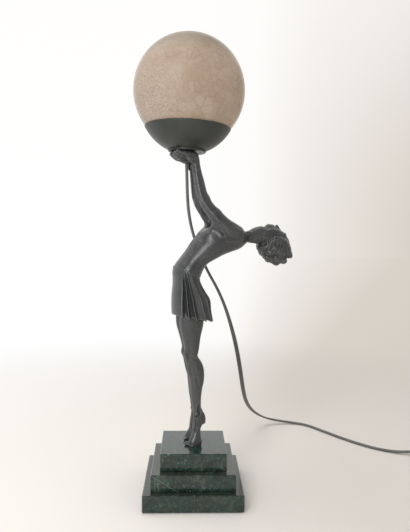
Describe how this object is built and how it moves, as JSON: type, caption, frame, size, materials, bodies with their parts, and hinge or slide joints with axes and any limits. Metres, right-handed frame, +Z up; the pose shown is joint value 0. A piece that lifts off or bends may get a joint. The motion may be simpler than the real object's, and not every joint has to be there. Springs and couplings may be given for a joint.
{
  "type": "figural table lamp",
  "caption": "Table lamp: a metal dancer on a stepped stone base holds up a bowl with a round crackled glass globe; mains lead with switch and plug.",
  "frame": {"origin": "centre of the base's underside", "axes": "+Z up, +X to the right and +Y away as the lamp is seen from its front, where the figure bends over to the right"},
  "size_m": [0.6783, 0.3436, 0.6192],
  "materials": {
    "felt": "woven green-black felt",
    "marble": "polished green stone with pale veins",
    "figure_metal": "dark grey patinated casting, satin",
    "bowl_metal": "dark green-grey patinated spinning, satin",
    "steel": "plain steel fastener",
    "brass": "aged brass",
    "globe_glass": "pale warm crackled glass",
    "bulb_glass": "opal lamp glass",
    "bulb_cap": "rolled thread",
    "black_plastic": "moulded",
    "ceramic": "glazed insulator",
    "cord_rubber": "grey flat twin lead",
    "grey_plastic": "moulded",
    "pin_metal": "bright plated"
  },
  "bodies": {
    "root": {"felt_pad": "felt", "slab_bottom": "marble", "slab_middle": "marble", "slab_top": "marble", "left_stud": "steel", "left_washer": "steel", "left_nut": "steel", "right_stud": "steel", "right_washer": "steel", "right_nut": "steel", "left_leg": "figure_metal", "right_leg": "figure_metal", "skirt": "figure_metal", "torso": "figure_metal", "head": "figure_metal", "left_arm": "figure_metal", "right_arm": "figure_metal", "left_hand": "figure_metal", "right_hand": "figure_metal", "hand_lug": "figure_metal", "collar": "bowl_metal", "bowl": "bowl_metal", "hollow_rod": "steel", "bowl_nut": "brass", "hand_nut": "brass", "cord_bush": "black_plastic", "holder_cap": "black_plastic", "holder_shell": "black_plastic", "holder_ring": "black_plastic", "holder_insert": "ceramic", "cord_drop": "cord_rubber", "switch_base": "grey_plastic", "switch_cover": "grey_plastic", "cord_lead": "cord_rubber", "cord_coil": "cord_rubber", "cord_tail": "cord_rubber", "plug_body": "grey_plastic", "plug_pin_1": "pin_metal", "plug_pin_2": "pin_metal"},
    "globe": {"globe": "globe_glass"},
    "bulb": {"bulb_contact": "brass", "bulb_cap": "bulb_cap", "bulb_glass": "bulb_glass"},
    "rocker": {"switch_rocker": "black_plastic"}
  },
  "joints": [
    {"name": "globe_lift", "type": "slide", "parent": "root", "child": "globe", "axis": [0.0314, 0, 0.9995], "range_m": [0, 0.15]},
    {"name": "bulb_turn", "type": "hinge", "parent": "root", "child": "bulb", "pos_m": [-0.0118, 0, 0.464], "axis": [0.0314, 0, 0.9995], "continuous": true},
    {"name": "rocker_tilt", "type": "hinge", "parent": "root", "child": "rocker", "pos_m": [0.42358, 0.1059, 0.0125], "axis": [0.1644, 0.9864, 0], "range_deg": [-11, 11]}
  ]
}
